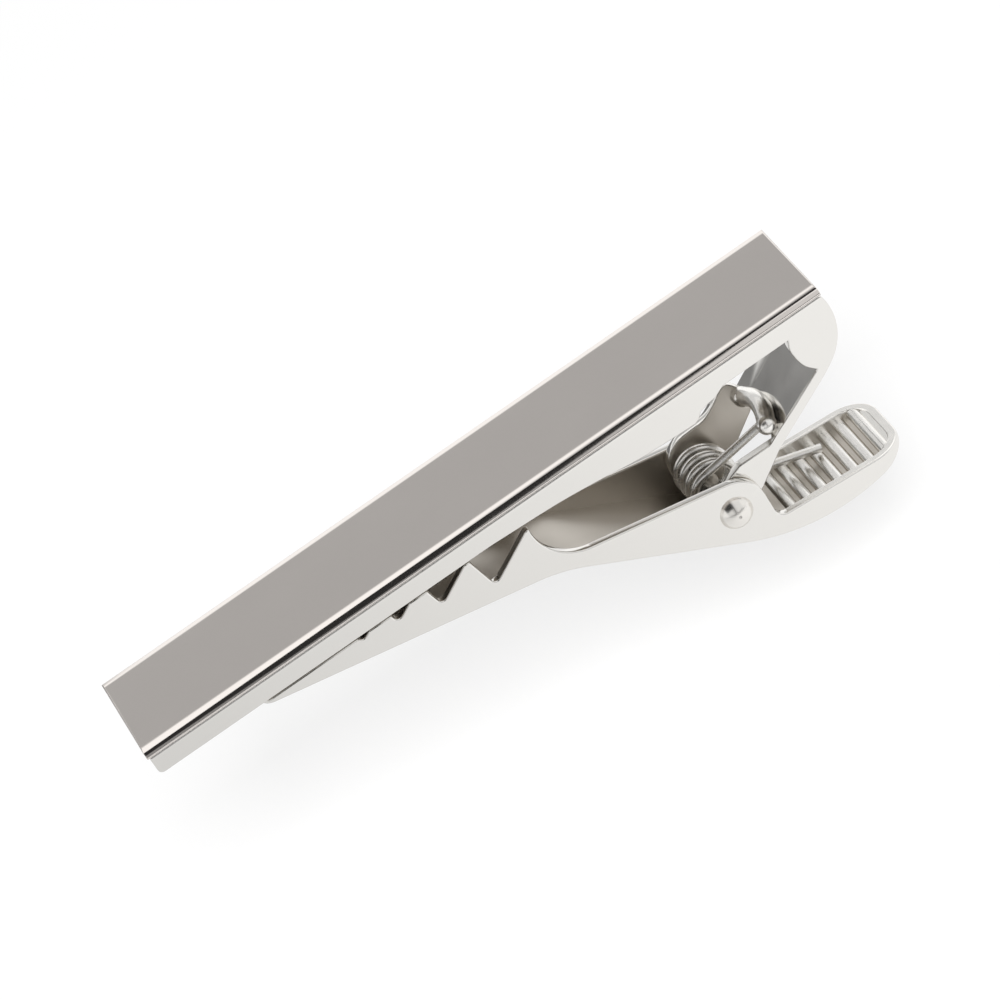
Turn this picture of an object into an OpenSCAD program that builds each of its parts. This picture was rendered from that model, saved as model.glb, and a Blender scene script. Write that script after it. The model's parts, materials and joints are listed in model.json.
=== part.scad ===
// Spring-jaw tie clip: a polished bar, a bent back strip that carries a pivot, and a toothed jaw
// that a torsion spring holds shut. X runs along the bar from the jaw tip to the bend, Y across it,
// and Z points out of the bar's front face. The origin is the centre of that face.

/* [Front bar] */
// Length of the bar
bar_l = 56.2; // [54:0.1:60]
// Width of the bar
bar_w = 11; // [10:0.1:12]
// Thickness of the bar
bar_t = 0.65; // [0.6:0.05:0.9]
// Width of the sloping shoulder along each long edge
shoulder_w = 0.65; // [0.3:0.05:0.9]
// Drop of the shoulder from the flat face to the rounded edge
shoulder_drop = 0.08; // [0.04:0.01:0.12]
// Radius of the rounded long edges
edge_r = 0.45; // [0.25:0.05:0.45]
// Broken edge at the bar's ends
edge_break = 0.1; // [0.05:0.01:0.2]
// Thickness of the solder film between the bar and the strip
solder_t = 0.1; // [0.05:0.01:0.2]
// Distance that the solder film stays inside the strip's edge
solder_inset = 1; // [0.95:0.05:1.2]

/* [Back strip] */
// Thickness of the strip's sheet
sheet_t = 0.8; // [0.65:0.05:0.85]
// Outer width of the strip over its side flanges
strip_w = 8.4; // [8.2:0.1:9.2]
// Distance from the bar's end to the strip's end at the jaw's tip
strip_inset = 0.1; // [0:0.1:2]
// Outer radius of the folds between the web and the side flanges
fold_r = 1; // [0.7:0.05:1.05]
// Depth of the side flanges below the solder film
flange_d = 2.25; // [1.9:0.05:2.5]
// Radius of the flange's corner at the strip's end
flange_corner_r = 0.4; // [0.3:0.1:1.2]
// Extra depth of the flange's bulge above the pivot
bulge_d = 1.3; // [0.8:0.05:1.35]
// Outer radius of the upper corner of the end bend
corner_r = 1.3; // [1.1:0.05:1.6]
// Outer radius of the end bend
bend_r = 4.6; // [4.4:0.05:4.8]
// Depth of the end bend's centre below the solder film
bend_drop = 2.0; // [1.9:0.05:2.1]
// Distance that the end bend stands out past the bar's end
bend_overhang = 0.25; // [0:0.05:0.4]
// Slope of the tongue below the bend
tongue_slope = 33; // [32:0.25:34]
// Depth of the gusset that closes the bend's sides, from the bend's outermost point
gusset_d = 4.0; // [3.4:0.1:4.4]
// Length of the tongue from the bend to its end between the lugs
tongue_l = 5.7; // [5.3:0.1:6]
// Radius of the tongue's hollow end
notch_r = 4.4; // [4:0.1:5]
// Radius of the bead that stiffens the tongue's end
bead_r = 0.7; // [0.6:0.05:0.75]
// Radius of the lugs round the pivot
lug_r = 1.65; // [1.4:0.05:1.7]
// Height of the lug's shoulder above the pivot
lug_shoulder_h = 2.55; // [2.3:0.05:2.65]
// Height of the far lug, which shields the coil, above the pivot
tall_lug_h = 4.9; // [4.6:0.1:5]

/* [Pivot] */
// Pivot's distance from the bar's end at the bend
pivot_inset = 12.85; // [12.6:0.05:13.1]
// Pivot's depth below the bar's front face
pivot_depth = 12.3; // [12.2:0.05:12.4]
// Radius of the rivet's shank
rivet_r = 0.6; // [0.5:0.05:0.65]
// Radius of the rivet's heads
head_r = 1.25; // [1.1:0.05:1.5]
// Height of the rivet's domed heads
head_h = 0.85; // [0.5:0.05:1]
// Radial clearance of the shank in the lugs
running_fit = 0.05; // [0.02:0.01:0.09]
// Radial clearance of the shank in the jaw's ears, where the rivet is set
set_fit = 0.01; // [0.01:0.005:0.02]
// Gap between each lug and the jaw's ear beside it
ear_gap = 0.1; // [0.05:0.01:0.15]

/* [Jaw] */
// Outer width of the jaw
jaw_w = 8.3; // [8.2:0.1:8.8]
// Thickness of the jaw's sheet
wall_t = 0.7; // [0.6:0.05:0.75]
// Reach from the pivot to the jaw's tip
jaw_reach = 34.8; // [32:0.1:36]
// Thickness left at the jaw's ground tip
tip_t = 0.25; // [0.2:0.05:0.4]
// Slope of the jaw's belly
belly_slope = 12; // [11.5:0.1:12.5]
// Slope of the jaw's underside between the knee and the tab
knee_slope = 30; // [29.5:0.1:30.5]
// Radius of the knee
knee_r = 12; // [6:0.5:14]
// Gap between the shut teeth and the strip's flanges
bite_gap = 0.05; // [0.03:0.01:0.12]
// Depth of the deepest notch between two teeth
tooth_d = 2.58; // [2:0.01:2.6]
// Mean distance between teeth
tooth_pitch = 3.35; // [3.1:0.05:3.5]
// Slope of a tooth's steep side
tooth_back = 76; // [65:1:80]
// Slope of a tooth's gentle side
tooth_ramp = 31.5; // [30:0.5:36]
// Radius of a notch's bottom
tooth_root_r = 0.4; // [0.25:0.05:0.45]
// Width of the last tooth
last_tooth_w = 3.72; // [3.6:0.02:3.9]
// Drop of the last tooth's tip below the others
last_tooth_drop = 0.57; // [0.4:0.01:0.7]
// Radius of the throat behind the last tooth
throat_r = 3.8; // [3.7:0.05:3.9]
// Distance of the throat's centre from the pivot
throat_reach = 9.0; // [8.8:0.1:9.2]
// Depth of the throat's centre below the teeth
throat_d = 1.0; // [0.9:0.05:1.1]
// Slope of the jaw's rim from the throat to the ears
cheek_slope = 12; // [11:0.5:13]
// Radius of the ears round the pivot
ear_r = 2.4; // [2.2:0.05:2.45]

/* [Thumb tab] */
// Reach from the pivot to the tab's end
tab_reach = 12.85; // [12.2:0.05:13.2]
// Depth of the tab's lowest point below the pivot
tab_depth = 4.75; // [4.7:0.05:5]
// Distance from the pivot to the tab's lowest point
tab_low_x = 7.3; // [7:0.1:7.6]
// Radius of the tab's bowed underside
tab_bow_r = 15.4; // [14.5:0.1:16.5]
// Depth of the tab's rim below the pivot, at the ear
rim_depth = 2.4; // [2.3:0.05:2.6]
// Slope of the rim away from the ear
rim_slope = 4.6; // [4:0.1:6]
// Radius of the corner between the ear and the rim
rim_corner_r = 0.8; // [0.4:0.1:1.2]
// Corner radius of the tab's end, seen from above
tab_corner_r = 2.6; // [1.6:0.1:3.4]
// Corner radius of the jaw's tip, seen from above
tip_corner_r = 0.9; // [0.8:0.05:1.5]
// Number of grip ribs
rib_n = 7; // [5:1:7]
// Distance between ribs
rib_pitch = 1.35; // [1.2:0.05:1.35]
// Radius of a rib
rib_r = 0.5; // [0.4:0.05:0.55]
// Height of a rib above the tab's floor
rib_h = 0.35; // [0.2:0.05:0.4]
// Distance from the tab's lowest point to the middle rib
rib_shift = 0.25; // [0:0.05:0.3]

/* [Spring] */
// Wire thickness
wire_d = 0.65; // [0.55:0.05:0.65]
// Mean radius of the coil
coil_r = 1.8; // [1.75:0.05:1.85]
// Gap between the rivet's shank and the coil that hangs on it
coil_fit = 0.06; // [0.04:0.01:0.1]
// Share of the coil's lift off the pivot's axis that is left at its near end
near_lift_share = 0.75; // [0.6:0.05:1]
// Gap between the far lug and the coil
coil_side_fit = 0.08; // [0.05:0.01:0.1]
// Share of the room between the lugs that the coil takes up
coil_room_share = 0.87; // [0.85:0.01:0.9]
// Full turns between the two legs
coil_turns = 3; // [2:1:3]
// Reach of the lower leg from the pivot
lower_leg = 8.0; // [7.6:0.1:8.3]
// Sideways drift of the upper leg towards the coil's middle
upper_drift = 0.3; // [0.1:0.05:0.5]
// Sideways drift of the lower leg towards the coil's middle
lower_drift = 0.6; // [0.3:0.05:0.7]
// Gap between a leg and what it bears on
leg_gap = 0.04; // [0.02:0.01:0.1]

/* [Hidden] */
$fn = 64;
overrun = wall_t / 2;

// Heights and places that several pieces share
bar_end = bar_l / 2;
strip_z = -bar_t - solder_t;
flange_z = strip_z - flange_d;
strip_x0 = -bar_end + strip_inset;
pivot_x = bar_end - pivot_inset;
pivot_z = -pivot_depth;
pivot = [pivot_x, pivot_z];
lug_out = jaw_w / 2 - wall_t - ear_gap;
lug_in = lug_out - sheet_t;

function reversed(list) = [for (i = [len(list) - 1 : -1 : 0]) list[i]];

// Direction at an angle, and points on an arc about a centre
function dir(a) = [cos(a), sin(a)];
function arc(centre, r, from, to, steps) =
    [for (i = [0 : steps]) centre + r * dir(from + (to - from) * i / steps)];

// Smooth curve through a list of points, with its ends doubled
function curve_at(a, b, c, d, t) = 0.5 * (2 * b + (c - a) * t + (2 * a - 5 * b + 4 * c - d) * t * t
    + (3 * b - a - 3 * c + d) * t * t * t);
function curve(p, steps) = let (n = len(p) - 1)
    [for (i = [0 : n - 1], k = [0 : steps - 1])
        curve_at(p[max(i - 1, 0)], p[i], p[i + 1], p[min(i + 2, n)], k / steps), p[n]];

// Profile in X and Z, carried across Y: centred, or as a pair of plates with a given outside
module across(width) {
    rotate([90, 0, 0]) linear_extrude(width, center = true) children();
}

module both_sides(outside, t) {
    for (s = [-1, 1]) translate([0, s * (outside - t / 2), 0]) across(t) children();
}

// Cylinder on the pivot's axis
module pivot_pin(r, l) {
    translate([pivot_x, 0, pivot_z]) rotate([90, 0, 0]) cylinder(r = r, h = l, center = true);
}

// Bar: a flat face, a shallow shoulder and a rounded edge along each side
module bar_section() {
    tilt = atan(shoulder_drop / shoulder_w);
    side = bar_w / 2;
    round_y = side - edge_r;
    flat_y = round_y + edge_r * sin(tilt) - shoulder_w;
    round_z = -shoulder_drop - edge_r * cos(tilt);
    right = concat([[flat_y, 0]], arc([round_y, round_z], edge_r, 90 - tilt, 0, 12),
                   [[side, edge_break - bar_t], [side - edge_break, -bar_t]]);
    polygon(concat(right, [for (p = reversed(right)) [-p[0], p[1]]]));
}

module front_bar() {
    e = bar_end;
    b = edge_break;
    color("silver") intersection() {
        rotate([90, 0, 90]) linear_extrude(bar_l, center = true) bar_section();
        across(bar_w + overrun)
            polygon([[-e + b, 0], [e - b, 0], [e, -b], [e, b - bar_t], [e - b, -bar_t],
                     [-e + b, -bar_t], [-e, b - bar_t], [-e, -b]]);
    }
}

module solder_seam() {
    x0 = strip_x0 + solder_inset;
    x1 = corner_c[0] - solder_inset;
    w = strip_w - 2 * solder_inset;
    color("dimgray") translate([x0, -w / 2, strip_z]) cube([x1 - x0, w, solder_t]);
}

// End bend: a small upper corner runs into the large arc, which runs into the tongue
bend_c = [bar_end + bend_overhang - bend_r, strip_z - bend_drop];
corner_dz = bend_drop - corner_r;
corner_dx = sqrt(pow(bend_r - corner_r, 2) - pow(corner_dz, 2));
corner_c = bend_c + [corner_dx, corner_dz];
corner_a = atan2(corner_dz, corner_dx);
tongue_dir = -dir(tongue_slope);
tongue_up = dir(tongue_slope + 90);
tongue_p = bend_c - bend_r * tongue_up;

function bend_pts(inset) = concat(
    arc(corner_c, corner_r - inset, 90, corner_a, 8),
    arc(bend_c, bend_r - inset, corner_a, tongue_slope - 90, 24));

// Point on the tongue's outer face at a distance from the bend
function tongue_at(s) = tongue_p + s * tongue_dir;

notch_s = tongue_l + notch_r;
lug_foot_s = notch_s - sqrt(pow(notch_r, 2) - pow(lug_out, 2));
lug_foot_h = 0.4 * sheet_t;

// Web, end bend and tongue as one folded sheet
module strip_profile() {
    foot = tongue_at(lug_foot_s);
    polygon(concat([[strip_x0, strip_z]], bend_pts(0), [foot, foot + sheet_t * tongue_up],
                   reversed(bend_pts(sheet_t)), [[strip_x0, strip_z - sheet_t]]));
}

// Side flange: a shallow skirt with a bulge above the pivot, and a gusset that closes the bend.
// The shares are of the bulge's length and depth, and of the gusset's depth.
bulge_ramp_share = [[1, 0], [0.68, 0.2], [0.46, 0.5], [0.27, 0.83], [0.04, 0.99]];
bulge_back_share = [[-0.005, 1], [-0.03, 0.86], [-0.05, 0.58], [-0.09, 0.43], [-0.14, 0.32], [-0.19, 0]];
gusset_edge_share = [[0.06, 0], [0.0, 0.23], [0.03, 0.57], [0.1, 0.8], [0.24, 1]];
bulge_l = bar_l * 0.29;
bulge_x = pivot_x + ear_r / 3;

function bulge_pt(p) = [bulge_x - p[0] * bulge_l, flange_z - p[1] * bulge_d];

module flange_profile() {
    r = flange_corner_r;
    gusset_x = bend_c[0] + bend_r - gusset_d;
    seat = tongue_up * sheet_t + tongue_p;
    seat_x = gusset_x + 0.24 * gusset_d;
    drop = flange_z - seat[1] + (seat[0] - seat_x) * tan(tongue_slope);
    edge = [for (p = gusset_edge_share) [gusset_x + p[0] * gusset_d, flange_z - p[1] * drop]];
    polygon(concat(
        [[strip_x0, strip_z]],
        arc([strip_x0 + r, flange_z + r], r, 180, 270, 8),
        curve([for (p = bulge_ramp_share) bulge_pt(p)], 4),
        [for (p = bulge_back_share) bulge_pt(p)],
        curve(edge, 4),
        reversed(bend_pts(0))));
}

// Rounded folds along the web's sides
module fold_section() {
    w = strip_w / 2;
    hull() for (s = [-1, 1]) {
        translate([s * (w - fold_r), strip_z - fold_r]) circle(fold_r, $fn = 32);
        translate([s * (w - fold_r), pivot_z]) circle(fold_r, $fn = 32);
    }
}

// The tongue is drawn flat, with its length along -X, and then tilted into place
module on_tongue() {
    translate([tongue_p[0], 0, tongue_p[1]]) rotate([0, -tongue_slope, 0]) children();
}

// Cuts that narrow the tongue to the lugs and hollow its end
module tongue_cuts() {
    w = strip_w / 2;
    on_tongue() translate([0, 0, -overrun]) linear_extrude(sheet_t + 2 * overrun) {
        for (m = [0, 1]) mirror([0, m])
            polygon([[-sheet_t, w], [-lug_foot_s, lug_out], [-lug_foot_s - overrun, lug_out],
                     [-lug_foot_s - overrun, w + overrun], [-sheet_t, w + overrun]]);
        translate([-notch_s, 0]) circle(notch_r);
    }
}

// Bead along the tongue's hollow end, with a ball at each end
bead_ring_r = notch_r + 0.4 * bead_r;
bead_up = sheet_t + 0.7 * bead_r;

function bead_at(y) = tongue_at(notch_s - sqrt(pow(bead_ring_r, 2) - pow(y, 2))) + bead_up * tongue_up;

module tongue_bead() {
    swing = asin((lug_out - 1.4 * bead_r) / bead_ring_r);
    on_tongue() translate([-notch_s, 0, bead_up]) {
        rotate([0, 0, -swing]) rotate_extrude(angle = 2 * swing)
            translate([bead_ring_r, 0]) circle(bead_r, $fn = 32);
        for (s = [-1, 1]) rotate([0, 0, s * swing]) translate([bead_ring_r, 0, 0])
            sphere(1.08 * bead_r, $fn = 32);
    }
}

module lug_profile() {
    shoulder_r = lug_r * 0.4;
    hull() {
        translate(pivot) circle(lug_r);
        translate(pivot + [1.3 * lug_r, lug_shoulder_h - shoulder_r]) circle(shoulder_r, $fn = 32);
        translate(tongue_at(lug_foot_s - lug_foot_h) + lug_foot_h * tongue_up) circle(lug_foot_h, $fn = 32);
    }
}

// Far lug's upper part, in shares of its height, from its front round to the bead
tall_lug_share = [[-0.4, 0.2], [-0.37, 0.41], [-0.255, 0.58], [-0.07, 0.685], [0.13, 0.705],
                  [0.4, 0.725], [0.62, 0.835], [0.83, 0.98], [0.97, 1], [1.08, 0.86]];

module tall_lug_profile() {
    lug_profile();
    polygon(concat([pivot], curve([for (p = tall_lug_share) pivot + p * tall_lug_h], 4),
                   [tongue_at(tongue_l) + lug_foot_h * tongue_up]));
}

module back_strip() {
    color("gainsboro") difference() {
        union() {
            intersection() {
                union() {
                    difference() {
                        across(strip_w) strip_profile();
                        tongue_cuts();
                    }
                    both_sides(strip_w / 2, sheet_t) flange_profile();
                }
                rotate([90, 0, 90]) linear_extrude(2 * bar_l, center = true) fold_section();
            }
            tongue_bead();
            translate([0, sheet_t / 2 - lug_out, 0]) across(sheet_t) lug_profile();
            translate([0, lug_out - sheet_t / 2, 0]) across(sheet_t) tall_lug_profile();
        }
        pivot_pin(rivet_r + running_fit, strip_w + overrun);
    }
}

// Jaw: outline of its side walls
tip_x = pivot_x - jaw_reach;
tab_x = pivot_x + tab_reach;
tooth_z = flange_z - bite_gap;
bow_c = pivot + [tab_low_x, tab_bow_r - tab_depth];
bow_p = bow_c + tab_bow_r * dir(-90 - knee_slope);
knee_run = (tooth_z - tip_t - bow_p[1] + (tip_x - bow_p[0]) * tan(knee_slope))
    / (tan(belly_slope) - tan(knee_slope));
knee_p = [tip_x + knee_run, tooth_z - tip_t - knee_run * tan(belly_slope)];
knee_l = knee_r * tan((knee_slope - belly_slope) / 2);
knee_c = knee_p - knee_l * dir(-belly_slope) + knee_r * dir(-90 - belly_slope);
tab_end_a = -acos((tab_x - bow_c[0]) / tab_bow_r);

// Underside from the tip to the tab's end, raised by an inset
function under_pts(inset) = concat(
    [[tip_x, tooth_z - tip_t + inset / cos(belly_slope)]],
    arc(knee_c, knee_r + inset, 90 - belly_slope, 90 - knee_slope, 8),
    arc(bow_c, tab_bow_r - inset, -90 - knee_slope, tab_end_a, 24));

throat_c = [pivot_x - throat_reach, tooth_z - throat_d];
throat_p = throat_c + throat_r * dir(-90 - cheek_slope);
last_notch_x = throat_c[0] - throat_r - last_tooth_w;
rim_x = pivot_x + ear_r;
rim_z = pivot_z - rim_depth;

module wall_outline() {
    corner = [rim_x + rim_corner_r, rim_z - rim_corner_r * tan(rim_slope) + rim_corner_r];
    polygon(concat(
        [[tip_x, tooth_z]],
        under_pts(0),
        [[tab_x, rim_z - (tab_x - rim_x) * tan(rim_slope)]],
        arc(corner, rim_corner_r, 270 - rim_slope, 180, 8),
        arc(pivot, ear_r, 0, 90 - cheek_slope, 16),
        [throat_p, [throat_p[0], tooth_z - last_tooth_drop],
         [last_notch_x, tooth_z - last_tooth_drop], [last_notch_x, tooth_z]]));
}

// Notches between the teeth: places from the last notch in tooth pitches, and depths in shares
notch_places_share = [2.955, 2.1, 1.143, 0];
notch_depths_share = [0.1, 0.22, 0.55, 1];

module tooth_notch(k) {
    c = [last_notch_x - notch_places_share[k] * tooth_pitch,
         tooth_z + tooth_root_r - notch_depths_share[k] * tooth_d];
    root = arc(c, tooth_root_r, 270 - tooth_back, 270 + tooth_ramp, 8);
    left = root[0];
    right = root[8];
    top = tooth_z + tooth_root_r + overrun;
    polygon(concat([[left[0] - (top - left[1]) / tan(tooth_back), top]], root,
                   [[right[0] + (top - right[1]) / tan(tooth_ramp), top]]));
}

module wall_profile() {
    difference() {
        wall_outline();
        translate(throat_c) circle(throat_r);
        for (k = [0 : len(notch_places_share) - 1]) tooth_notch(k);
    }
}

module floor_profile() {
    intersection() {
        polygon(concat(under_pts(0), reversed(under_pts(wall_t))));
        wall_outline();
    }
}

// Outline of the jaw seen from above, drawn in by an inset
module jaw_plan(inset) {
    x0 = tip_x + inset;
    x1 = tab_x - inset;
    w = jaw_w / 2 - inset;
    rt = tip_corner_r - inset;
    re = tab_corner_r - inset;
    translate([x0 + rt, -w]) square([x1 - re - x0 - rt, 2 * w]);
    translate([x0, rt - w]) square([rt, 2 * (w - rt)]);
    translate([x1 - re, re - w]) square([re, 2 * (w - re)]);
    for (s = [-1, 1]) {
        translate([x0 + rt, s * (w - rt)]) circle(rt);
        translate([x1 - re, s * (w - re)]) circle(re);
    }
}

// Upright prism over the jaw's whole height
module standing() {
    translate([0, 0, pivot_z - tab_depth - overrun]) linear_extrude(pivot_depth + tab_depth) children();
}

module grip_ribs() {
    step = rib_pitch / tab_bow_r * 180 / PI;
    shift = rib_shift / tab_bow_r * 180 / PI;
    r = tab_bow_r - wall_t + rib_r - rib_h;
    for (i = [0 : rib_n - 1]) {
        c = bow_c + r * dir(-90 + shift + (i - (rib_n - 1) / 2) * step);
        translate([c[0], 0, c[1]]) rotate([90, 0, 0])
            cylinder(r = rib_r, h = jaw_w - wall_t, center = true, $fn = 32);
    }
}

module jaw_lever() {
    color("lightgray") difference() {
        union() {
            intersection() {
                across(jaw_w) wall_profile();
                standing() difference() {
                    jaw_plan(0);
                    jaw_plan(wall_t);
                }
            }
            intersection() {
                across(jaw_w) floor_profile();
                standing() jaw_plan(0);
            }
            intersection() {
                grip_ribs();
                across(jaw_w) wall_outline();
                standing() jaw_plan(wall_t / 2);
            }
        }
        pivot_pin(rivet_r + set_fit, jaw_w + overrun);
    }
}

// Domed head whose flat side lies on an ear
module rivet_head() {
    ball_r = (pow(head_r, 2) + pow(head_h, 2)) / (2 * head_h);
    intersection() {
        translate([0, 0, head_h - ball_r]) sphere(ball_r);
        cylinder(r = head_r + overrun, h = head_h + overrun);
    }
}

module pivot_rivet() {
    color("whitesmoke") {
        pivot_pin(rivet_r, jaw_w);
        for (s = [-1, 1]) translate([pivot_x, s * jaw_w / 2, pivot_z])
            rotate([-90 * s, 0, 0]) rivet_head();
    }
}

// Spring: one wire from the upper leg's end, round the coil and out to the lower leg's end. The
// coil hangs on the rivet's shank. The upper leg's end is tucked under the tongue's bead, and the
// lower leg bears on the crest of a rib.
bear = wire_d / 2 + leg_gap;
coil_lift = coil_r - wire_d / 2 - rivet_r - coil_fit;
lower_y = lug_in - wire_d / 2 - coil_side_fit;
coil_span = 2 * lower_y * coil_room_share;
upper_y = lower_y - coil_span;
upper_aim = bead_at(upper_y + upper_drift) - (bead_r + 3 * leg_gap) * dir(55);
upper_leg = upper_aim[0] - pivot_x;
crest_r = tab_bow_r - wall_t - rib_h;
lower_x = pivot_x + lower_leg;
lower_aim = [lower_x, bow_c[1] - sqrt(pow(crest_r, 2) - pow(lower_x - bow_c[0], 2)) + bear];

// Coil's centre at a share of its length from the near end
function coil_c(share) = pivot + [0, coil_lift * (near_lift_share + (1 - near_lift_share) * share)];

// Direction of a leg that touches the coil's circle and passes through a point
function leg_angle(p, share, side) = let (d = p - coil_c(share))
    atan2(d[1], d[0]) + side * asin(coil_r / norm(d));
upper_a = leg_angle(upper_aim, 0, -1);
lower_a = leg_angle(lower_aim, 1, 1);
first_a = upper_a + 90;
turn = lower_a + 180 - upper_a + 360 * coil_turns;
coil_steps = ceil(turn / 45);

function coil_point(a) = let (p = coil_c(a / turn) + coil_r * dir(first_a + a))
    [p[0], upper_y + coil_span * a / turn, p[1]];

// Straight leg that leaves the coil at a point, in steps of wire thickness
function leg(from, a, reach, drift) =
    let (l = (pivot_x + reach - from[0]) / cos(a), d = [cos(a), drift / l, sin(a)])
    [for (t = [wire_d, 2 * wire_d, l / 2, l]) from + t * d];

coil = [for (i = [0 : coil_steps]) coil_point(turn * i / coil_steps)];
route = concat(reversed(leg(coil[0], upper_a, upper_leg, upper_drift)), coil,
               leg(coil[coil_steps], lower_a, lower_leg, -lower_drift));

sides = 6;
function unit(v) = v / norm(v);
function heading(p, i) = unit(p[min(i + 1, len(p) - 1)] - p[max(i - 1, 0)]);

// Ring of points round the route, square to it, with the first one always on the same side
function ring(p, i, r) = let (d = heading(p, i), s = unit([0, 1, 0] - d[1] * d), u = cross(d, s))
    [for (k = [0 : sides - 1]) p[i] + r * (cos(360 * k / sides) * s + sin(360 * k / sides) * u)];

module sweep(p, r) {
    n = len(p);
    last = (n - 1) * sides;
    walls = [for (i = [0 : n - 2], k = [0 : sides - 1])
        let (a = i * sides + k, b = i * sides + (k + 1) % sides)
        each [[a, b, b + sides], [a, b + sides, a + sides]]];
    start = [for (k = [1 : sides - 2]) [0, k + 1, k]];
    end = [for (k = [1 : sides - 2]) [last, last + k, last + k + 1]];
    polyhedron(points = [for (i = [0 : n - 1]) each ring(p, i, r)],
               faces = concat(walls, start, end), convexity = 6);
}

// Least distance between points of the coil at least half a turn apart, less the wire
fine = [for (a = [0 : 10 : turn]) coil_point(a)];
spring_gap = min([for (i = [0 : len(fine) - 1]) for (j = [i + 18 : 1 : len(fine) - 1])
    norm(fine[i] - fine[j])]) - wire_d;
echo(spring_gap = spring_gap);

module torsion_spring() {
    color("lightsteelblue") sweep(route, wire_d / 2);
}

front_bar();
solder_seam();
back_strip();
jaw_lever();
pivot_rivet();
torsion_spring();
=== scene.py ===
"""Spring-jaw tie clip: dresses the solids in polished plating and lays them on a pale floor."""
import json
import math

import bmesh
import bpy
from mathutils import Matrix, Vector


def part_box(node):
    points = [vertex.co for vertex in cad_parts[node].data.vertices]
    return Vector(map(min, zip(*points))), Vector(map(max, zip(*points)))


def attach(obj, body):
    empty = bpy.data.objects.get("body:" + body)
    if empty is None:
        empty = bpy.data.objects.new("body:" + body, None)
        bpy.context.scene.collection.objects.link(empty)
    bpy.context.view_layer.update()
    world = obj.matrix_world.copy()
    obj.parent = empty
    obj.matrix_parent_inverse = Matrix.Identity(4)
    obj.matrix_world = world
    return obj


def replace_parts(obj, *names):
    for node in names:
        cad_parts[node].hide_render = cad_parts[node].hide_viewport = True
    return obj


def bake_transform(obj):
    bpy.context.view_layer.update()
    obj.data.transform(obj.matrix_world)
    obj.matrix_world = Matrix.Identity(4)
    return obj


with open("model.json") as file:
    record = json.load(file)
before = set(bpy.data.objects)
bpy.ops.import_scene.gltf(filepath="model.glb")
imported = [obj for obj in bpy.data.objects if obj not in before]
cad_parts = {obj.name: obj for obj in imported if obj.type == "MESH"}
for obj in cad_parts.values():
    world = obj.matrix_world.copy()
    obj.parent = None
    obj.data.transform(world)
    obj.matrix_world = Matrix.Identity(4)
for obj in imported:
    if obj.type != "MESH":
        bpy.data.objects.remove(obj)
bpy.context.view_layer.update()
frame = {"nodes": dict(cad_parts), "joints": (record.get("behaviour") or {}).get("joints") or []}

MM = 0.001
WHITE = (1, 1, 1, 1)
ACROSS = Vector((0, 1, 0))


# Small helpers

def linear(hex_colour):
    """sRGB hex colour as a linear RGBA value."""
    parts = [int(hex_colour[i:i + 2], 16) / 255 for i in (1, 3, 5)]
    parts = [c / 12.92 if c <= 0.04045 else ((c + 0.055) / 1.055) ** 2.4 for c in parts]
    return (*parts, 1.0)


def add(tree, kind, inputs=None, stops=(), **settings):
    """Adds a node, gives it its settings and a ramp its (place, grey level) stops, and fills its
    inputs with values or links."""
    made = tree.nodes.new(kind)
    for key, value in settings.items():
        setattr(made, key, value)
    for key, value in (inputs or {}).items():
        if isinstance(value, bpy.types.NodeSocket):
            tree.links.new(value, made.inputs[key])
        else:
            made.inputs[key].default_value = value
    if stops:
        points = made.color_ramp.elements
        for _ in range(len(stops) - len(points)):
            points.new(0.5)
        for point, (place, _) in zip(points, stops):
            point.position = place
        for point, (_, level) in zip(points, stops):
            point.color = (level, level, level, 1)
    return made


def new_material(name):
    """Empty node material and its tree."""
    made = bpy.data.materials.new(name)
    made.use_nodes = True
    made.node_tree.nodes.clear()
    return made, made.node_tree


def put(name, data):
    """Links a new object into the scene."""
    made = bpy.data.objects.new(name, data)
    bpy.context.scene.collection.objects.link(made)
    return made


def bake(piece):
    """Turns a piece's modifiers into its plain mesh."""
    bpy.context.view_layer.update()
    evaluated = piece.evaluated_get(bpy.context.evaluated_depsgraph_get())
    baked = bpy.data.meshes.new_from_object(evaluated)
    piece.modifiers.clear()
    piece.data = baked
    baked.name = piece.name


def ray(degrees):
    """Direction at an angle in the clip's middle plane, from +X towards +Z."""
    return Vector((math.cos(math.radians(degrees)), 0, math.sin(math.radians(degrees))))


# Materials

# How many times longer than wide the fine lines in a metal's surface are
LINE_STRETCH = 12


def metal(name, colour, roughness, haze, haze_mm, line_mm, line_depth, line_axis):
    """Metal whose roughness drifts by its haze in clouds haze_mm wide, and whose surface carries
    faint lines along one axis. Real ones are finer than a pixel, so they are drawn line_mm wide."""
    made, tree = new_material(name)
    place = add(tree, "ShaderNodeTexCoord").outputs["Object"]
    cloud = add(tree, "ShaderNodeTexNoise", {
        "Vector": place, "Scale": 1 / (haze_mm * MM), "Detail": 3.0, "Roughness": 0.55})
    rough = add(tree, "ShaderNodeMapRange", {
        "Value": cloud.outputs["Fac"], "From Min": 0.3, "From Max": 0.7,
        "To Min": roughness - haze, "To Max": roughness + haze})
    stretch = [1 if axis == line_axis else LINE_STRETCH for axis in "XYZ"]
    along = add(tree, "ShaderNodeMapping", {"Vector": place, "Scale": stretch})
    lines = add(tree, "ShaderNodeTexNoise", {
        "Vector": along.outputs[0], "Scale": 1 / (line_mm * LINE_STRETCH * MM), "Detail": 2.0})
    bump = add(tree, "ShaderNodeBump", {
        "Height": lines.outputs["Fac"], "Strength": 1.0, "Distance": line_depth * MM})
    shader = add(tree, "ShaderNodeBsdfPrincipled", {
        "Base Color": linear(colour), "Metallic": 1.0, "Roughness": rough.outputs[0],
        "Normal": bump.outputs[0]})
    add(tree, "ShaderNodeOutputMaterial", {"Surface": shader.outputs[0]})
    return made


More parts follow.
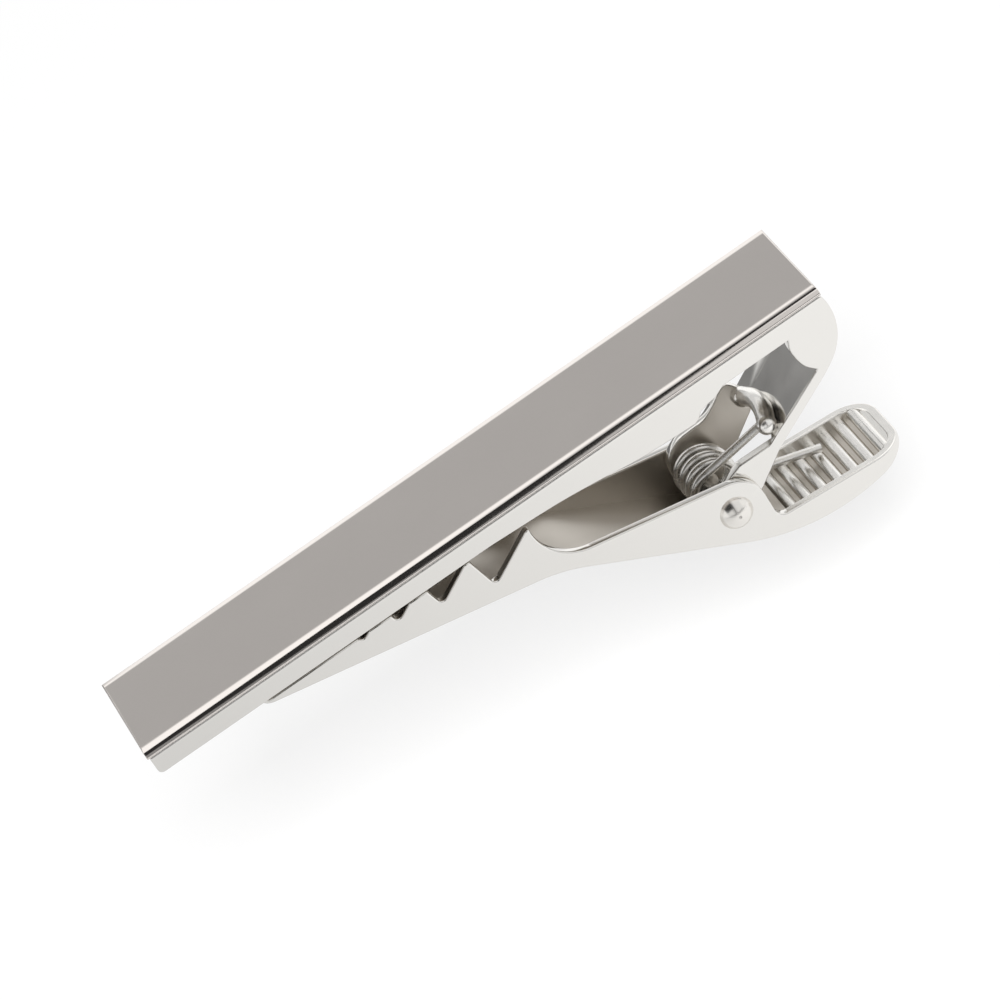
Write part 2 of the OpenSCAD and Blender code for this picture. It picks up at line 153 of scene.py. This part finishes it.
# Rhodium flash over brass, mirror buffed along the bar: even bright grey, hardly any texture
BUFFED_RHODIUM = metal("buffed_rhodium_plating", "#E7E1DC", roughness=0.07, haze=0.015,
                       haze_mm=6, line_mm=0.08, line_depth=0.00002, line_axis="X")
# The same plating on a pressed strip, tumbled before plating: bright, with a little more haze
TUMBLED_RHODIUM = metal("tumbled_rhodium_plating", "#E6E4E0", roughness=0.11, haze=0.02,
                        haze_mm=4, line_mm=0.12, line_depth=0.00002, line_axis="X")
# Satin metal inside the channels, in the grooves, on the teeth's cut edges and on the far lug. Its
# blur is a finish, and its darker, warmer colour is painted shade in these hollows, so what it
# mirrors runs into soft brownish patches
PAINTED_SHADE_METAL = metal("satin_metal_painted_shade", "#C6C0B7", roughness=0.36, haze=0.04,
                     haze_mm=3, line_mm=0.15, line_depth=0.0002, line_axis="X")
# Rhodium as it left the press, on the ribs and round them and on the tongue's bead. It is bright,
# and its blurred reflections are a finish. Its colour, brighter than the other plating, is painted
# light
PAINTED_LIGHT_RHODIUM = metal("pressed_plating_painted_light", "#F3F1ED", roughness=0.25, haze=0.03,
                        haze_mm=2, line_mm=0.15, line_depth=0.00003, line_axis="X")
# Plating on the headed rivet, as its die left it: bright, with a faint even grain
HEADED_RHODIUM = metal("headed_rhodium_plating", "#E9E6E1", roughness=0.24, haze=0.03,
                       haze_mm=2, line_mm=0.1, line_depth=0.00004, line_axis="Y")
# Tin-silver solder that ran under the strip: dull grey
SOFT_SOLDER = metal("soft_solder_seam", "#8E8C88", roughness=0.42, haze=0.08,
                    haze_mm=1.5, line_mm=0.2, line_depth=0.002, line_axis="X")
# Drawn stainless spring wire: satin bright, with a faint grain across the coil's turns
DRAWN_WIRE = metal("drawn_spring_wire", "#E0DEDA", roughness=0.27, haze=0.03,
                   haze_mm=1, line_mm=0.1, line_depth=0.0001, line_axis="Y")


# Pieces made from the CAD's solids. Widths and places are in millimetres.

# Eased width that a bevel weight of 1 stands for
FULL_EASE = 0.5
# Edges that turn by less than this belong to a curve
SHARP = math.radians(28)
# Points nearer than this are one, and faces that turn by less than this are one flat face
WELD = 0.0005
FLAT = math.radians(0.4)

# Finishes of the pressed sheets, by their places in the list. The satin one carries painted shade
# and the pressed one carries painted light
SHEET_FINISHES = [TUMBLED_RHODIUM, PAINTED_SHADE_METAL, PAINTED_LIGHT_RHODIUM]
TUMBLED, SHADED_HOLLOW, LIT_PRESSING = range(3)


def weigh_edges(shape, width, from_y=-math.inf):
    """Marks each sharp outer edge past from_y with its eased width, and keeps the others sharp."""
    weight = shape.edges.layers.float.new("bevel_weight_edge")
    for edge in shape.edges:
        if len(edge.link_faces) != 2 or edge.calc_face_angle() < SHARP:
            continue
        past = min(v.co.y for v in edge.verts) > from_y * MM
        eased = width > 0 and edge.is_convex and past
        edge[weight] = width / FULL_EASE if eased else 0
        edge.smooth = eased


def finish_mesh(mesh, name, eased):
    """Puts a closed mesh in its place, smooth, with its weighted edges eased inside its own box.
    Its flat faces stay flat in the reflections."""
    corners = [[pick(v.co[axis] for v in mesh.vertices) for axis in range(3)]
               for pick in (min, max)]
    mesh.polygons.foreach_set("use_smooth", [True] * len(mesh.polygons))
    piece = put(name, mesh)
    if eased:
        bevel = piece.modifiers.new("eased_edges", "BEVEL")
        bevel.width = FULL_EASE * MM
        bevel.segments = 4
        bevel.limit_method = "WEIGHT"
        bevel.use_clamp_overlap = False
        bevel.loop_slide = False
        level = piece.modifiers.new("flat_faces", "WEIGHTED_NORMAL")
        level.mode = "FACE_AREA"
        level.weight = 60
        level.keep_sharp = True
    bake(piece)
    for v in piece.data.vertices:
        v.co = [min(max(c, low), high) for c, low, high in zip(v.co, *corners)]
    return piece


def merged(node, materials, width, finish):
    """Closed copy of a CAD node's loose triangles, with whole flat faces and a finish on each."""
    shape = bmesh.new()
    shape.from_mesh(frame["nodes"][node].data)
    bmesh.ops.remove_doubles(shape, verts=shape.verts, dist=WELD * MM)
    bmesh.ops.dissolve_degenerate(shape, edges=shape.edges, dist=WELD * MM)
    bmesh.ops.dissolve_limit(shape, angle_limit=FLAT, use_dissolve_boundaries=False,
                             verts=shape.verts, edges=shape.edges)
    for face in shape.faces:
        face.material_index = finish(face.calc_center_median() / MM, face.normal)
    weigh_edges(shape, width)
    mesh = bpy.data.meshes.new(node + "_dressed")
    for material in materials:
        mesh.materials.append(material)
    shape.to_mesh(mesh)
    shape.free()
    return mesh


def dress(node, name, body, materials, width=0, finish=lambda place, normal: 0):
    """Puts a finished copy of a CAD node in its place, with its edges eased to a width."""
    piece = finish_mesh(merged(node, materials, width, finish), name, width > 0)
    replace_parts(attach(piece, body), node)


def faces_in(place, normal):
    """True for a face that looks at the middle plane from at least half a millimetre off."""
    return normal.y * place.y < -0.5


# The thumb tab: where it starts along the clip, the height it stays under, half the width inside
# its rim, and where its last groove ends
TAB_X = 16
TAB_Z = -12
TAB_HALF_W = 3.5
LAST_GROOVE_X = 26.6
# Centre of the tab's bow, and its radius where a groove starts and at the ribs' crests
BOW_X = 22.55
BOW_Z = -1.65
GROOVE_R = 14.53
CREST_R = 14.35
# The jaw's tip, its teeth's height, half the tip's thickness, the slope of its belly, where its
# teeth end, and half the width of its floor
TIP_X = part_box("jaw_lever")[0].x / MM
TEETH_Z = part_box("jaw_lever")[1].z / MM
TIP_HALF_T = 0.12
BELLY_SLOPE = 12
TEETH_END_X = 3
FLOOR_HALF_W = 3.4


def jaw_finish(place, normal):
    """Satin with painted shade inside the jaw's channel, in the grooves between the ribs and on the
    cut edges of the teeth, pressed with painted light on the ribs and round them, and tumbled
    outside."""
    if place.x > TAB_X:
        up = normal.z > 0.1
        inside = place.z < TAB_Z and abs(place.y) < TAB_HALF_W and (up or faces_in(place, normal))
        depth = math.hypot(place.x - BOW_X, place.z - BOW_Z)
        groove = depth > GROOVE_R and up and place.x < LAST_GROOVE_X
        return (SHADED_HOLLOW if groove else LIT_PRESSING) if inside else TUMBLED
    half_depth = TIP_HALF_T + 0.5 * (place.x - TIP_X) * math.tan(math.radians(BELLY_SLOPE))
    floor = normal.z > 0.5 and abs(place.y) < FLOOR_HALF_W
    cut = abs(normal.y) < 0.3 and place.x < TEETH_END_X and place.z > TEETH_Z - half_depth
    return SHADED_HOLLOW if faces_in(place, normal) or floor or cut else TUMBLED


# The strip's end bend, the slope of the tongue that comes back from it, where the tongue's outer
# face starts, and how far down it the middle of the round hollow lies
BEND_C = Vector((23.75, 0, -2.75))
BEND_R = 4.6
TONGUE_SLOPE = 33
TONGUE_UP = ray(TONGUE_SLOPE + 90)
TONGUE_DOWN = -ray(TONGUE_SLOPE)
TONGUE_FOOT = BEND_C - BEND_R * TONGUE_UP
HOLLOW_S = 10.1
# The bead round the hollow: its middle line's radius and height over the tongue's outer face
BEAD_RING_R = 4.68
BEAD_UP = 1.29
# Limits of the bead's pressed finish with painted light: height over the outer face, two radii and
# a place along X
BEAD_FOOT_UP = 0.85
BEAD_INNER_R = 3.9
BEAD_OUTER_R = 5.5
BEAD_X = 17
# Limits of the satin finish with its painted shade under the web, inside the flanges and on the far
# lug
WEB_Z = -1.8
WEB_HALF_W = 3.5
FLANGE_Z = -5
FLANGE_END_X = 18
LUG_END_X = 21.5


def strip_finish(place, normal):
    """Satin with painted shade under the web, inside its flanges and on the far lug, pressed with
    painted light on the tongue's bead, and tumbled elsewhere."""
    reach = place - TONGUE_FOOT
    ring = math.hypot(reach.dot(TONGUE_DOWN) - HOLLOW_S, place.y)
    raised = reach.dot(TONGUE_UP) > BEAD_FOOT_UP and place.x > BEAD_X
    if raised and BEAD_INNER_R < ring < BEAD_OUTER_R:
        return LIT_PRESSING
    web = normal.z < -0.9 and abs(place.y) < WEB_HALF_W and place.z > WEB_Z
    inward = faces_in(place, normal)
    channel = place.x < FLANGE_END_X and place.z > FLANGE_Z and (inward or web)
    far_lug = place.x < LUG_END_X and place.z < FLANGE_Z and inward and place.y > 0
    return SHADED_HOLLOW if channel or far_lug else TUMBLED


# Outline of the shoulder on the tongue's far edge: places down the tongue and across it, the
# heights of its two faces over the tongue's outer face, and its eased width past a place across
SHOULDER = [(1.0, 4.16), (3.5, 4.4), (5.0, 4.65), (6.2, 4.7), (6.9, 3.3), (6.2, 2.6), (1.0, 2.6)]
SHOULDER_UP = (0.01, 0.81)
SHOULDER_EASE = 0.1
SHOULDER_EASE_Y = 3.2


def tongue_shoulder():
    """Far edge of the tongue, up to half a millimetre wider than the strip, which closes the view
    past the far lug."""
    shape = bmesh.new()
    low, high = [[shape.verts.new(MM * (TONGUE_FOOT + down * TONGUE_DOWN + up * TONGUE_UP
                                        + y * ACROSS)) for down, y in SHOULDER]
                 for up in SHOULDER_UP]
    shape.faces.new(low)
    shape.faces.new(high[::-1])
    for i in range(len(SHOULDER)):
        shape.faces.new((low[i - 1], high[i - 1], high[i], low[i]))
    bmesh.ops.recalc_face_normals(shape, faces=shape.faces)
    weigh_edges(shape, SHOULDER_EASE, SHOULDER_EASE_Y)
    mesh = bpy.data.meshes.new("tongue_shoulder")
    mesh.materials.append(TUMBLED_RHODIUM)
    shape.to_mesh(mesh)
    shape.free()
    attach(finish_mesh(mesh, "tongue_shoulder", True), "clip_back")


dress("front_bar", "polished_bar", "clip_back", [BUFFED_RHODIUM], 0.05)
dress("back_strip", "folded_strip", "clip_back", SHEET_FINISHES, 0.12, strip_finish)
dress("jaw_lever", "toothed_jaw", "clip_jaw", SHEET_FINISHES, 0.14, jaw_finish)
dress("pivot_rivet", "headed_rivet", "clip_jaw", [HEADED_RHODIUM])
tongue_shoulder()
frame["nodes"]["solder_seam"].data.materials.clear()
frame["nodes"]["solder_seam"].data.materials.append(SOFT_SOLDER)


# The torsion spring, in millimetres and degrees

PIVOT = Vector([place / MM for place in frame["joints"][0]["pos_m"]])
WIRE_D = 0.65
# The coil: its radius and whole turns, where it starts across the clip and how far it spans, and
# how far its middle lies above the pivot at its far end and, as a share of that, at its near end
COIL_R = 1.8
COIL_TURNS = 3
COIL_Y = -1.5873
COIL_SPAN = 3.7323
COIL_LIFT = 0.815
NEAR_LIFT_SHARE = 0.75
# The legs: how far each drifts across the clip, how far and in which direction the bead's middle
# line is from the upper one's end, where the lower one ends, and its gap over a rib's crest
UPPER_DRIFT = 0.3
LOWER_DRIFT = -0.6
BEAD_REACH = 0.82
BEAD_ANGLE = 55
LOWER_X = 23.25
LOWER_GAP = 0.04
# How finely the wire is drawn
COIL_STEPS = 200
LEG_STEPS = 24
WIRE_SIDES = 24


def coil_centre(share):
    """Centre of the coil at a share of its span from the near end."""
    return PIVOT + Vector((0, 0, COIL_LIFT * (NEAR_LIFT_SHARE + (1 - NEAR_LIFT_SHARE) * share)))


def leg_angle(aim, share, side):
    """Direction of the leg that touches the coil and passes through a point."""
    reach = aim - coil_centre(share)
    return math.degrees(math.atan2(reach.z, reach.x) + side * math.asin(COIL_R / reach.length))


def leg(start, angle, end_x, drift):
    """Points along a straight leg, from next to the coil to its end."""
    length = (end_x - start.x) / ray(angle).x
    step = ray(angle) + drift / length * ACROSS
    return [start + step * length * (i + 1) / LEG_STEPS for i in range(LEG_STEPS)]


def spring_route():
    """Points along the wire: upper leg, coil and lower leg."""
    bead_s = HOLLOW_S - math.sqrt(BEAD_RING_R ** 2 - (COIL_Y + UPPER_DRIFT) ** 2)
    bead = TONGUE_FOOT + bead_s * TONGUE_DOWN + BEAD_UP * TONGUE_UP
    upper_aim = bead - BEAD_REACH * ray(BEAD_ANGLE)
    crest_z = BOW_Z - math.sqrt(CREST_R ** 2 - (LOWER_X - BOW_X) ** 2)
    lower_aim = Vector((LOWER_X, 0, crest_z + WIRE_D / 2 + LOWER_GAP))
    upper = leg_angle(upper_aim, 0, -1)
    lower = leg_angle(lower_aim, 1, 1)
    turn = lower + 180 - upper + 360 * COIL_TURNS
    coil = []
    for i in range(COIL_STEPS + 1):
        share = i / COIL_STEPS
        across = (COIL_Y + COIL_SPAN * share) * ACROSS
        coil.append(coil_centre(share) + COIL_R * ray(upper + 90 + turn * share) + across)
    upper_leg = leg(coil[0], upper, upper_aim.x, UPPER_DRIFT)
    return upper_leg[::-1] + coil + leg(coil[-1], lower, LOWER_X, LOWER_DRIFT)


def wire_group():
    """Geometry nodes that sweep a round wire along a path, and their inputs' identifiers."""
    tree = bpy.data.node_groups.new("swept_wire", "GeometryNodeTree")
    sockets = {}
    for label, way, kind in (("Path", "INPUT", "Geometry"), ("Wire radius", "INPUT", "Float"),
                             ("Wire material", "INPUT", "Material"),
                             ("Wire", "OUTPUT", "Geometry")):
        made = tree.interface.new_socket(label, in_out=way, socket_type="NodeSocket" + kind)
        sockets[label] = made.identifier
    given = add(tree, "NodeGroupInput").outputs
    path = add(tree, "GeometryNodeMeshToCurve", {"Mesh": given["Path"]})
    circle = add(tree, "GeometryNodeCurvePrimitiveCircle", {
        "Resolution": WIRE_SIDES, "Radius": given["Wire radius"]})
    tube = add(tree, "GeometryNodeCurveToMesh", {
        "Curve": path.outputs[0], "Profile Curve": circle.outputs[0], "Fill Caps": True})
    smooth = add(tree, "GeometryNodeSetShadeSmooth", {0: tube.outputs[0]})
    real = add(tree, "GeometryNodeRealizeInstances", {0: smooth.outputs[0]})
    done = add(tree, "GeometryNodeSetMaterial", {
        0: real.outputs[0], "Material": given["Wire material"]})
    add(tree, "NodeGroupOutput", {0: done.outputs[0]})
    return tree, sockets


def wound_wire():
    """Smooth torsion spring in place of the CAD's six-sided one."""
    points = [p * MM for p in spring_route()]
    path = bpy.data.meshes.new("spring_path")
    path.from_pydata(points, [(i, i + 1) for i in range(len(points) - 1)], [])
    piece = put("wound_wire", path)
    tree, sockets = wire_group()
    sweep = piece.modifiers.new("swept_wire", "NODES")
    sweep.node_group = tree
    sweep[sockets["Wire radius"]] = WIRE_D / 2 * MM
    sweep[sockets["Wire material"]] = DRAWN_WIRE
    bake(piece)
    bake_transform(piece)
    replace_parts(piece, "torsion_spring")


wound_wire()


# Floor, studio and camera, in metres and degrees

# The floor's glow where it is white, and in reflections at the left of the object
FLOOR_GLOW = 0.46
LEFT_GLOW = 0.20
LEFT_X, RIGHT_X = -0.026, 0.026
# Past the table's front edge the floor takes its own lit light back, so it mirrors as dark
EDGE_GLOW = -0.35
EDGE_Y, TABLE_Y = -0.20, -0.155
FLOOR_HALF = 2
# How far the floor lies under the shut clip
FLOOR_DROP = 0.0095


def floor_white():
    """White that keeps the object's shadow: part lit, part glowing. In reflections its glow fades
    towards the left, and past the table's front edge it is dark."""
    made, tree = new_material("pale_floor")
    lit = add(tree, "ShaderNodeBsdfDiffuse", {"Color": linear("#C4C4C4")})
    path = add(tree, "ShaderNodeLightPath").outputs
    place = add(tree, "ShaderNodeTexCoord").outputs["Object"]
    axes = add(tree, "ShaderNodeSeparateXYZ", {0: place})
    tilt = add(tree, "ShaderNodeMapRange", {
        "Value": axes.outputs["X"], "From Min": LEFT_X, "From Max": RIGHT_X,
        "To Min": LEFT_GLOW, "To Max": FLOOR_GLOW})
    table = add(tree, "ShaderNodeMapRange", {
        "Value": axes.outputs["Y"], "From Min": EDGE_Y, "From Max": TABLE_Y,
        "To Min": EDGE_GLOW, "To Max": tilt.outputs[0]})
    seen = add(tree, "ShaderNodeMath", {
        0: path["Is Camera Ray"], 1: path["Is Transmission Ray"]}, operation="MAXIMUM")
    shiny = add(tree, "ShaderNodeMath", {
        0: path["Is Glossy Ray"], 1: table.outputs[0]}, operation="MULTIPLY")
    level = add(tree, "ShaderNodeMath", {
        0: seen.outputs[0], 1: FLOOR_GLOW, 2: shiny.outputs[0]}, operation="MULTIPLY_ADD")
    glow = add(tree, "ShaderNodeEmission", {"Color": WHITE, "Strength": level.outputs[0]})
    both = add(tree, "ShaderNodeAddShader", {0: lit.outputs[0], 1: glow.outputs[0]})
    add(tree, "ShaderNodeOutputMaterial", {"Surface": both.outputs[0]})
    return made


# Light tent over the object, seen only in its reflections
TENT_R = 1.2
TENT_HALF = 1.5
TENT_SIDES = 48
# Its levels, at angles over the long axis from the far horizon
TENT_LEVELS = [(0, 1.15), (26, 1.15), (29.3, 0.48), (35.7, 0.48), (39, 1.2), (95, 1.2),
               (130, 1.0), (180, 1.0)]
# Levels of its near side below the boom, at places along the long axis
NEAR_LEVELS = [(-0.3, 0.8), (-0.07, 0.3), (-0.01, 0.24), (0.05, 0.42), (0.08, 0.62),
               (0.105, 0.72), (0.3, 0.85)]
NEAR_START, NEAR_FULL = 90, 111.6
# The black boom across it: places along the long axis, with the boom's middle and half width there.
# A half width below zero leaves nothing of it. A ramp holds no value below zero, so the half widths
# go in with BOOM_SPARE on top.
BOOM = [(-1.3, 104, 38), (-0.25, 108, 30), (-0.07, 109, 30), (-0.04, 109, 42), (-0.01, 107, 56),
        (0.02, 107, 58), (0.05, 103, 56), (0.08, 88, 42), (0.105, 80, 33), (0.127, 66, 21),
        (0.16, 62, 18), (0.3, 62, -20)]
BOOM_SPARE = 20
BOOM_LEVEL = 0.03
BOOM_INSIDE, BOOM_OUTSIDE = -0.012, 0.02
# A dark wall far left of the object, low over the far horizon, and the tent's dark near foot
WALL_TOP, WALL_FULL = 23, 20
WALL_RIGHT_X, WALL_LEFT_X = -0.064, -0.078
WALL_LEVEL = 0.19
FOOT_START, FOOT_FULL = 173.7, 176.4
FOOT_LEVEL = 0.1


def laid_over(tree, tone, level, *reaches):
    """Tone with a level laid over it where each place is past its start, in full past its end."""
    share = 1.0
    for place, start, end in reaches:
        reach = add(tree, "ShaderNodeMapRange", {
            "Value": place, "From Min": start, "From Max": end})
        share = add(tree, "ShaderNodeMath", {0: share, 1: reach.outputs[0]},
                    operation="MULTIPLY").outputs[0]
    return add(tree, "ShaderNodeMix", {"Factor": share, 2: tone, 3: level},
               data_type="FLOAT").outputs[0]


def tent_glow():
    """Glow of the tent in bands over the long axis. Angles count as shares of half a turn."""
    made, tree = new_material("light_tent")
    place = add(tree, "ShaderNodeTexCoord").outputs["Object"]
    axes = add(tree, "ShaderNodeSeparateXYZ", {0: place}).outputs
    turn = add(tree, "ShaderNodeMath", {0: axes["Z"], 1: axes["Y"]}, operation="ARCTAN2")
    share = add(tree, "ShaderNodeMath", {0: turn.outputs[0], 1: math.pi},
                operation="DIVIDE").outputs[0]
    along = add(tree, "ShaderNodeMapRange", {
        "Value": axes["X"], "From Min": -TENT_HALF, "From Max": TENT_HALF}).outputs[0]

    def level_along(pairs):
        stops = [((x + TENT_HALF) / (2 * TENT_HALF), level) for x, level in pairs]
        return add(tree, "ShaderNodeValToRGB", {0: along}, stops).outputs[0]

    bands = [(angle / 180, level) for angle, level in TENT_LEVELS]
    tone = add(tree, "ShaderNodeValToRGB", {0: share}, bands).outputs[0]
    tone = laid_over(tree, tone, WALL_LEVEL, (share, WALL_TOP / 180, WALL_FULL / 180),
                     (axes["X"], WALL_RIGHT_X, WALL_LEFT_X))
    tone = laid_over(tree, tone, level_along(NEAR_LEVELS),
                     (share, NEAR_START / 180, NEAR_FULL / 180))
    tone = laid_over(tree, tone, FOOT_LEVEL, (share, FOOT_START / 180, FOOT_FULL / 180))
    middle = level_along([(x, angle / 180) for x, angle, half in BOOM])
    half_width = level_along([(x, (half + BOOM_SPARE) / 180) for x, angle, half in BOOM])
    off = share
    for operation, value in (("SUBTRACT", middle), ("ABSOLUTE", 0), ("SUBTRACT", half_width),
                             ("ADD", BOOM_SPARE / 180)):
        off = add(tree, "ShaderNodeMath", {0: off, 1: value}, operation=operation).outputs[0]
    tone = laid_over(tree, tone, BOOM_LEVEL, (off, BOOM_OUTSIDE, BOOM_INSIDE))
    glow = add(tree, "ShaderNodeEmission", {"Color": WHITE, "Strength": tone})
    add(tree, "ShaderNodeOutputMaterial", {"Surface": glow.outputs[0]})
    return made


def studio_sheet(name, corners, faces, material):
    """Thin sheet with one material, linked into the scene."""
    mesh = bpy.data.meshes.new(name)
    mesh.from_pydata(corners, [], faces)
    mesh.materials.append(material)
    sheet = put(name, mesh)
    return sheet


def pale_floor():
    """Flat floor, low enough for the opened jaw."""
    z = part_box("jaw_lever")[0].z - FLOOR_DROP
    corners = [(x * FLOOR_HALF, y * FLOOR_HALF, z) for x, y in ((-1, -1), (1, -1), (1, 1), (-1, 1))]
    studio_sheet("pale_floor", corners, [(0, 1, 2, 3)], floor_white())


def tent():
    """Half tube along X whose inside glows in bands."""
    rim = [TENT_R * ray(180 * i / TENT_SIDES) for i in range(TENT_SIDES + 1)]
    corners = [(x, place.x, place.z) for place in rim for x in (-TENT_HALF, TENT_HALF)]
    faces = [(2 * i, 2 * i + 1, 2 * i + 3, 2 * i + 2) for i in range(TENT_SIDES)]
    sheet = studio_sheet("light_tent", corners, faces, tent_glow())
    sheet.visible_camera = False
    sheet.visible_diffuse = False
    sheet.visible_shadow = False


def lamp(name, place, size, watts):
    """Soft square lamp that points at the object and shows in no reflection."""
    data = bpy.data.lights.new(name, "AREA")
    data.size = size
    data.energy = watts
    made = put(name, data)
    turn = Vector(place).to_track_quat("Z", "Y").to_matrix().to_4x4()
    made.matrix_world = Matrix.Translation(place) @ turn
    made.visible_glossy = False


# Share of the surroundings' white that lights the object
WORLD_LIGHT = 0.7


def white_surroundings():
    """World that shows as white and lights the object a little less."""
    world = bpy.data.worlds.new("white_surroundings")
    bpy.context.scene.world = world
    world.use_nodes = True
    tree = world.node_tree
    tree.nodes.clear()
    path = add(tree, "ShaderNodeLightPath").outputs
    shiny = add(tree, "ShaderNodeMath", {
        0: path["Is Glossy Ray"], 1: path["Is Transmission Ray"]}, operation="MAXIMUM")
    seen = add(tree, "ShaderNodeMath", {
        0: path["Is Camera Ray"], 1: shiny.outputs[0]}, operation="MAXIMUM")
    level = add(tree, "ShaderNodeMapRange", {
        "Value": seen.outputs[0], "To Min": WORLD_LIGHT, "To Max": 1.0})
    glow = add(tree, "ShaderNodeBackground", {"Color": WHITE, "Strength": level.outputs[0]})
    add(tree, "ShaderNodeOutputWorld", {"Surface": glow.outputs[0]})


# The photograph's angle: the camera's place in millimetres, and its yaw, pitch and roll
CAMERA_PLACE = Vector((-12.83, -364.247, 227.56))
CAMERA_TURNS = ((-2.34556, "Z"), (57.69623, "X"), (-33.39756, "Z"))


def camera():
    """Camera at the photograph's angle, with a long lens."""
    data = bpy.data.cameras.new("camera")
    data.lens = 223.2
    data.sensor_width = 36
    data.clip_start = 0.01
    data.clip_end = 10
    made = put("camera", data)
    stand = Matrix.Translation(CAMERA_PLACE * MM)
    for angle, axis in CAMERA_TURNS:
        stand = stand @ Matrix.Rotation(math.radians(angle), 4, axis)
    made.matrix_world = stand
    bpy.context.scene.camera = made


pale_floor()
tent()
lamp("front_lamp", place=(-0.02, -0.75, 0.65), size=0.4, watts=6.0)
white_surroundings()
bpy.context.scene.view_settings.view_transform = "Standard"
camera()
